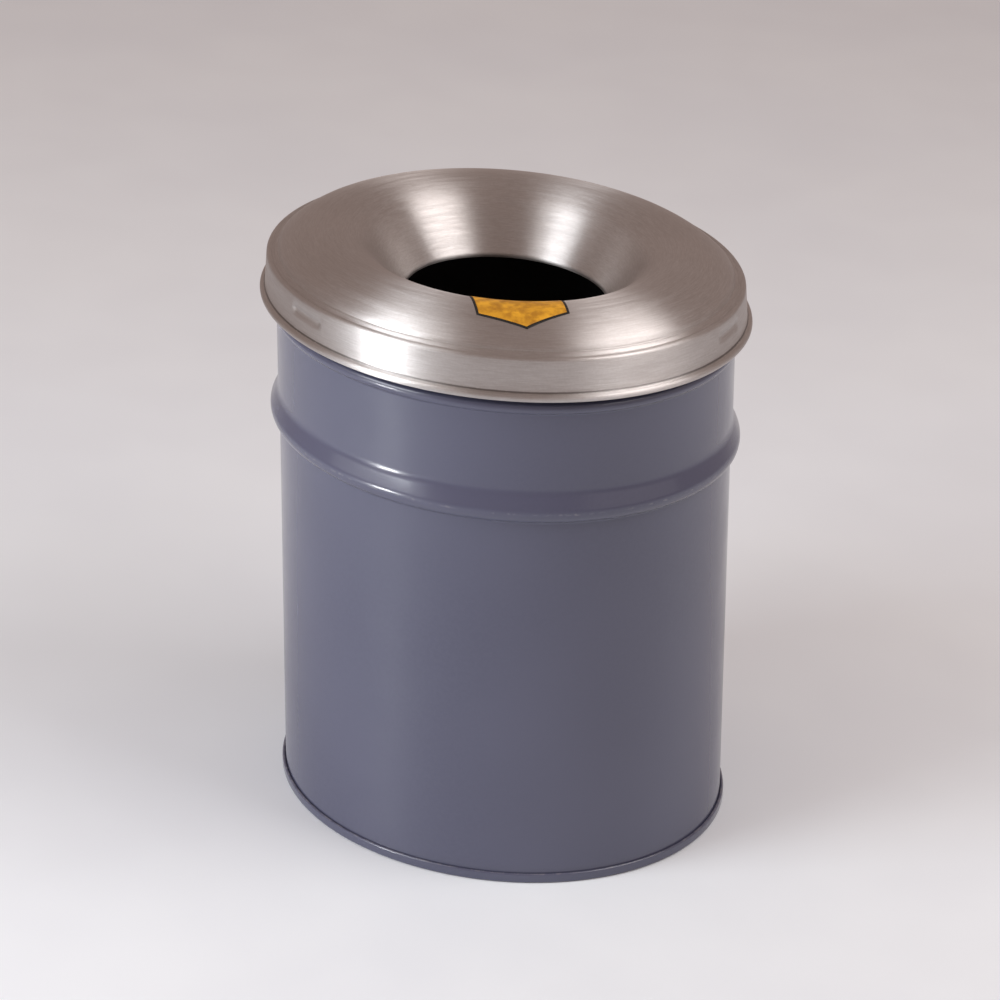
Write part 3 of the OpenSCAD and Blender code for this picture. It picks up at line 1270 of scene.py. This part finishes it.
@dataclass
class Label:
    """Blank five-sided label with a dark border, laid over the front of the dome."""

    groups: Groups
    crown: float
    crown_height: float
    dome: float = 47.0 * MM
    crown_round: float = 33.0 * MM
    direction: float = -85.0
    twist: float = 5.0
    width: float = 56.5 * MM
    root: float = 117.5 * MM
    point: float = 13.5 * MM
    length: float = 32.0 * MM
    border: float = 1.6 * MM
    film: float = 0.15 * MM
    gap: float = 0.02 * MM
    across: int = 44
    along: int = 36

    def surface(self, along: float, across: float, lift: float) -> Vector:
        """Point over the dome.

        Args:
            along: Distance from the root of the label's point, towards the point.
            across: Distance from the label's middle line.
            lift: Height above the metal.

        Returns:
            The point.
        """
        spot = Matrix.Rotation(math.radians(self.twist), 2) @ Vector((along, across))
        spot = Matrix.Rotation(math.radians(self.direction), 2) @ (spot + Vector((self.root, 0.0)))
        bend = self.dome if spot.length > self.crown else self.crown_round
        centre = Vector((self.crown, self.crown_height - bend))
        run = spot.length - centre.x
        face = Vector((run, math.sqrt(bend**2 - run**2)))
        section = centre + face * ((bend + lift) / bend)
        flat = spot * (section.x / spot.length)
        return Vector((flat.x, flat.y, section.y))

    def build_film(
        self,
        name: str,
        node: str,
        inset: float,
        low: float,
        finish: bpy.types.Material,
        slot: Slot,
    ) -> None:
        """slot: Record's slot of its finish; passed on to place, not used.
        """
        half = self.width / 2 - inset
        slope = math.atan2(self.point, self.width / 2)
        tip = self.point - inset / math.cos(slope)
        end = inset - self.length
        points: list[Vector] = []
        for lift in (low, low + self.film):
            for i in range(self.across + 1):
                side = half * (2 * i / self.across - 1)
                reach = tip - abs(side) * math.tan(slope)
                steps = [end + (reach - end) * j / self.along for j in range(self.along + 1)]
                points += [self.surface(step, side, lift) for step in steps]
        row = self.along + 1
        layer = row * (self.across + 1)
        faces: list[list[int]] = []
        for base in (0, layer):
            for i in range(self.across):
                for j in range(self.along):
                    a = base + i * row + j
                    faces.append([a, a + 1, a + row + 1, a + row])
        rim = [*range(row), *(i * row + row - 1 for i in range(1, self.across + 1))]
        rim += [self.across * row + j for j in range(row - 2, -1, -1)]
        rim += [i * row for i in range(self.across - 1, 0, -1)]
        faces += [[a, b, b + layer, a + layer] for a, b in zip(rim, rim[1:] + rim[:1])]
        piece = mesh_piece(name, points, faces, finish)
        place(piece, Body.HEAD, [node], slot)

    def build(self) -> None:
        """Lays the dark border and then the yellow face."""
        dark = BORDER_FILM.build(self.groups)
        yellow = YELLOW_FILM.build(self.groups)
        low = 2 * self.gap + self.film
        self.build_film("label_backing_visual", "label_backing", 0.0, self.gap, dark, Slot.BORDER)
        self.build_film(
            "label_face_visual", "label_face", self.border, low, yellow, Slot.YELLOW
        )


# ---- Studio -----------------------------------------------------------------


@dataclass(frozen=True)
class Lamp:
    """Soft lamp that faces the can.

    Its azimuth runs from the front towards +X, its elevation from the can's upper part, its reach
    is its distance, its size its width and height, and its power is in watts.
    """

    name: str
    azimuth: float
    elevation: float
    reach: float
    size: Point
    power: float
    tint: Colour


LAMPS = (
    Lamp("lamp_left_high", -54, 51, 2.0, (0.9, 0.6), 5.5, (0.96, 0.98, 1.0)),
    Lamp("lamp_left_low", -58, 26, 2.0, (0.9, 0.7), 15, (0.90, 0.95, 1.0)),
    Lamp("lamp_left_fill", -62, 13, 2.0, (1.8, 0.5), 3, (0.94, 0.97, 1.0)),
    Lamp("lamp_right_fill", 62, 13, 2.0, (1.8, 0.5), 1.0, (1.0, 0.97, 0.96)),
    Lamp("lamp_right", 74, 45, 2.0, (1.4, 1.0), 19, (1.0, 0.98, 0.98)),
    Lamp("lamp_strip", -55, -9, 1.3, (0.22, 0.16), 5.5, (0.96, 0.98, 1.0)),
)


@dataclass
class Studio:
    """Pale floor, large soft lamps and the camera."""

    groups: Groups
    floor_half: float = 6.0
    floor_dark: Colour = (0.85, 0.89, 0.93)
    floor_light: Colour = (0.88, 0.92, 0.95)
    room: Colour = (1.0, 0.78, 0.71)
    room_strength: float = 0.38
    aim: float = 0.3
    distance: float = 2.4695
    height: float = 1.3713
    pitch: float = 25.42
    yaw: float = 0.07
    roll: float = 0.38
    lens: float = 153.7
    shear: float = 0.0673

    def build_floor(self) -> None:
        """Lays the floor under the can."""
        f = Finish("pale_floor")
        cloud = f.group(self.groups.mottle, Scale=3.0)
        f.join("Base Color", f.mix(cloud, self.floor_dark, self.floor_light))
        f.join("Roughness", f.group(self.groups.mottle, Scale=12.0, Low=0.6, High=0.75))
        half = self.floor_half
        corners = [(-half, -half, 0), (half, -half, 0), (half, half, 0), (-half, half, 0)]
        mesh = bpy.data.meshes.new("floor")
        mesh.from_pydata(corners, [], [(0, 1, 2, 3)])
        mesh.materials.append(f.material)
        floor = bpy.data.objects.new("floor", mesh)
        bpy.context.scene.collection.objects.link(floor)

    def hang(self, lamp: Lamp) -> None:
        """Hangs one lamp, out of the camera's sight.

        Args:
            lamp: The lamp.
        """
        data = bpy.data.lights.new(lamp.name, "AREA")
        data.shape = "RECTANGLE"
        data.size, data.size_y = lamp.size
        data.energy = lamp.power
        data.color = lamp.tint
        turn, rise = math.radians(lamp.azimuth), math.radians(lamp.elevation)
        flat = math.cos(rise)
        way = Vector((math.sin(turn) * flat, -math.cos(turn) * flat, math.sin(rise)))
        light = bpy.data.objects.new(lamp.name, data)
        light.visible_camera = False
        light.location = Vector((0, 0, self.aim)) + way * lamp.reach
        light.rotation_euler = way.to_track_quat("Z", "Y").to_euler()
        bpy.context.scene.collection.objects.link(light)

    def build_sky(self) -> None:
        """Sets the dim warm room around the can."""
        world = bpy.data.worlds.new("studio_room")
        bpy.context.scene.world = world
        world.use_nodes = True
        background = world.node_tree.nodes["Background"]
        background.inputs["Color"].default_value = (*self.room, 1.0)
        background.inputs["Strength"].default_value = self.room_strength

    def build_camera(self) -> None:
        """Sets the camera, with the slant of a picture cut from the side of a wider one."""
        scene = bpy.context.scene
        data = bpy.data.cameras.new("camera")
        data.lens = self.lens
        data.sensor_width = 36.0
        camera = bpy.data.objects.new("camera", data)
        slant = bpy.data.objects.new("camera_slant", None)
        for thing in (slant, camera):
            scene.collection.objects.link(thing)
        stand = Matrix.Translation((0, -self.distance, self.height))
        stand = stand @ Matrix.Rotation(math.radians(self.yaw), 4, "Z")
        stand = stand @ Matrix.Rotation(math.radians(90 - self.pitch), 4, "X")
        stand = stand @ Matrix.Rotation(math.radians(self.roll), 4, "Z")
        skew = Matrix.Identity(4)
        skew[1][0] = self.shear
        camera.parent = slant
        camera.matrix_parent_inverse = stand @ skew @ stand.inverted()
        camera.matrix_basis = stand
        scene.camera = camera

    def build(self) -> None:
        """Builds the floor, the lamps, the room and the camera."""
        bpy.context.scene.view_settings.view_transform = "Standard"
        self.build_floor()
        for lamp in LAMPS:
            self.hang(lamp)
        self.build_sky()
        self.build_camera()


def main() -> None:
    """Builds the can around its frame, and the studio around the can."""
    logging.basicConfig(level=logging.INFO, format="%(name)s: %(message)s")
    groups = Groups()
    lathe = Lathe()
    shell_low, shell_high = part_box("drum_shell")
    head_low, head_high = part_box("head_shell")
    Studio(groups).build()
    Drum(lathe, groups, top=shell_high.z).build()
    head = Head(
        lathe,
        groups,
        hem=head_high.x,
        crown_height=head_high.z,
        hem_low=head_low.z,
        drum_top=shell_high.z,
    )
    head.build()
    Label(groups, crown=head.crown, crown_height=head.crown_height).build()


if __name__ == "__main__":
    main()
